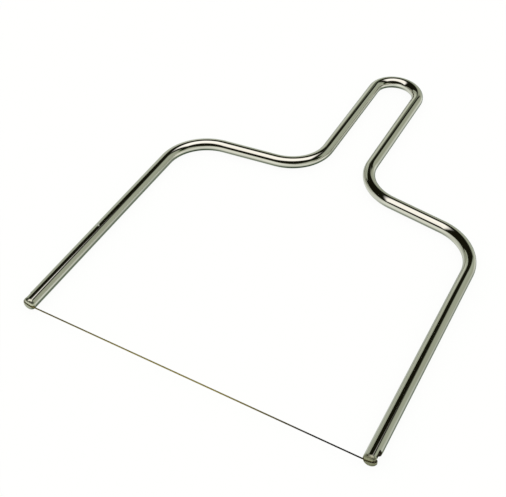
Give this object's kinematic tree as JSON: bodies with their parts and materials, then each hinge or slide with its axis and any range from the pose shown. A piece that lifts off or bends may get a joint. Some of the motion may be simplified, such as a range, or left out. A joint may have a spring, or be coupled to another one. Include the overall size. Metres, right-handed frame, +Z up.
{
  "type": "wire cheese cutter",
  "caption": "Bent round bar with a loop handle and two parallel arms, holding a taut cutting wire between its slotted ends.",
  "frame": {"origin": "under the middle of the cutter's outline, on the surface that it lies on", "axes": "+X along the cutting wire, +Y from the wire to the handle's loop, +Z up, square to the flat frame"},
  "size_m": [0.216, 0.3122, 0.008],
  "materials": {
    "nickel_plate": "polished nickel plate on steel bar",
    "stainless_wire": "drawn, bare",
    "crimp_sleeve": "pressed, dull"
  },
  "bodies": {
    "root": {"frame_bar": "nickel_plate", "cutting_wire": "stainless_wire", "left_crimp_sleeve": "crimp_sleeve", "right_crimp_sleeve": "crimp_sleeve"}
  },
  "joints": []
}
